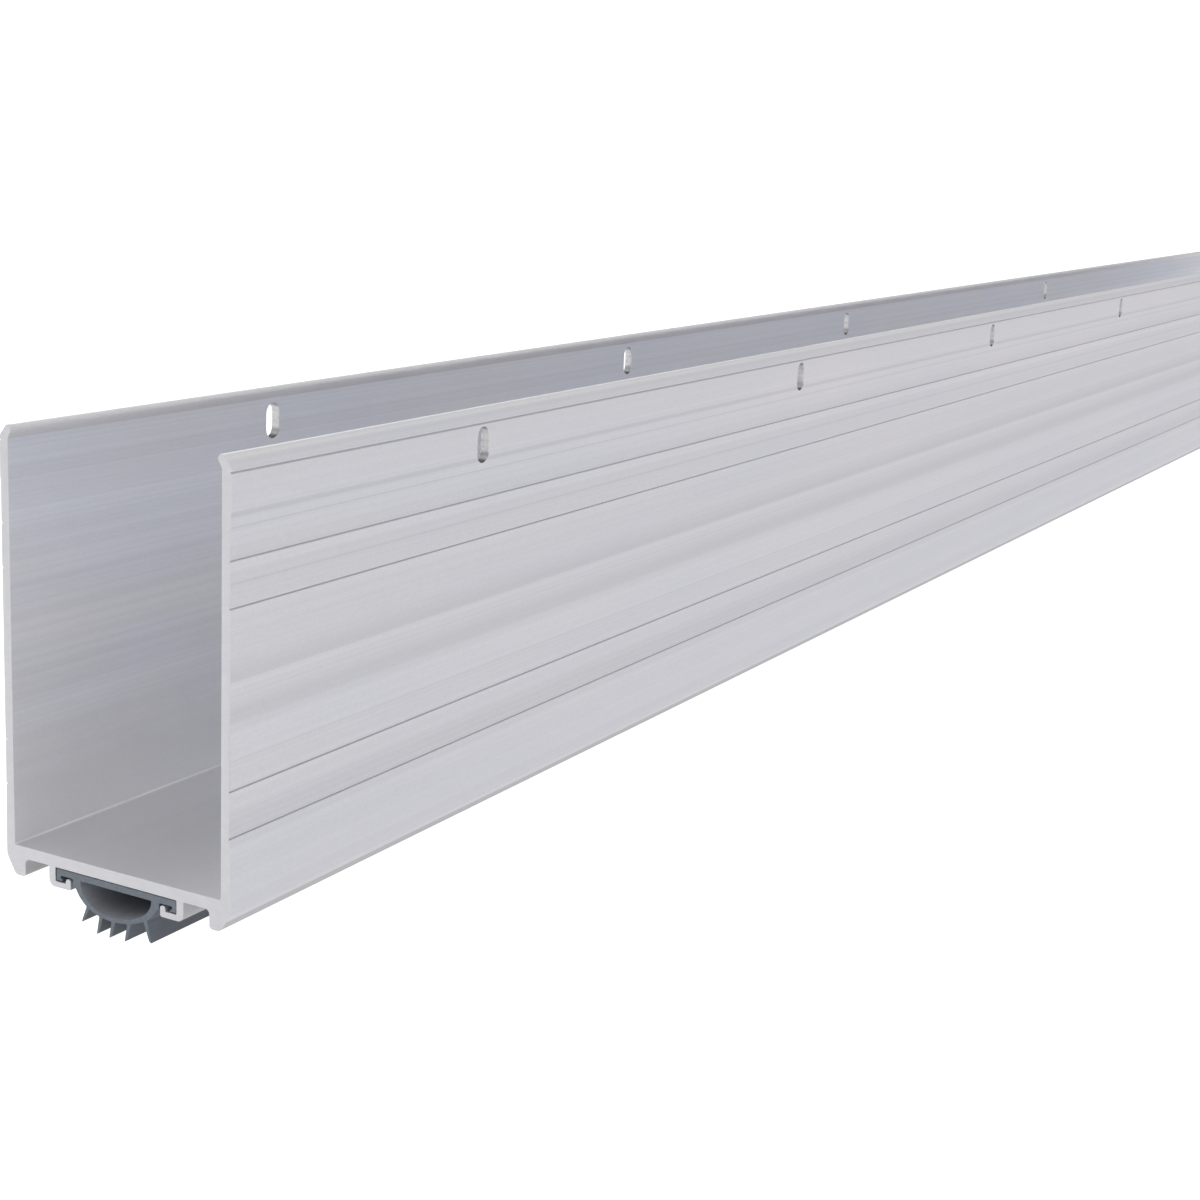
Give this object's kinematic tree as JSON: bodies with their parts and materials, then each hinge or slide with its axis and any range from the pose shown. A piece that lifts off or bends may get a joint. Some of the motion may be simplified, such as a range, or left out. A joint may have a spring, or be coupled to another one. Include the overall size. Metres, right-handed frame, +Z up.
{
  "type": "door sweep",
  "caption": "U-shaped aluminium door bottom that slides up under a door, with slotted legs and a finned hollow vinyl seal in a track beneath.",
  "frame": {"origin": "on the floor under the middle of the object, which stands on the tips of its fins", "axes": "+X along the length, away from the end that the picture shows; +Y across the door towards the far leg; +Z up, the way the legs stand"},
  "size_m": [0.9144, 0.0512, 0.0886],
  "materials": {
    "mill_aluminium": "mill finish extruded aluminium, satin, with fine lines along its length",
    "grey_vinyl": "smooth matt blue-grey flexible vinyl"
  },
  "bodies": {
    "channel": {"door_channel": "mill_aluminium"},
    "seal": {"finned_seal": "grey_vinyl"}
  },
  "joints": [
    {"name": "seal_slide", "type": "slide", "parent": "channel", "child": "seal", "axis": [1, 0, 0], "range_m": [-0.92, 0.92]}
  ]
}
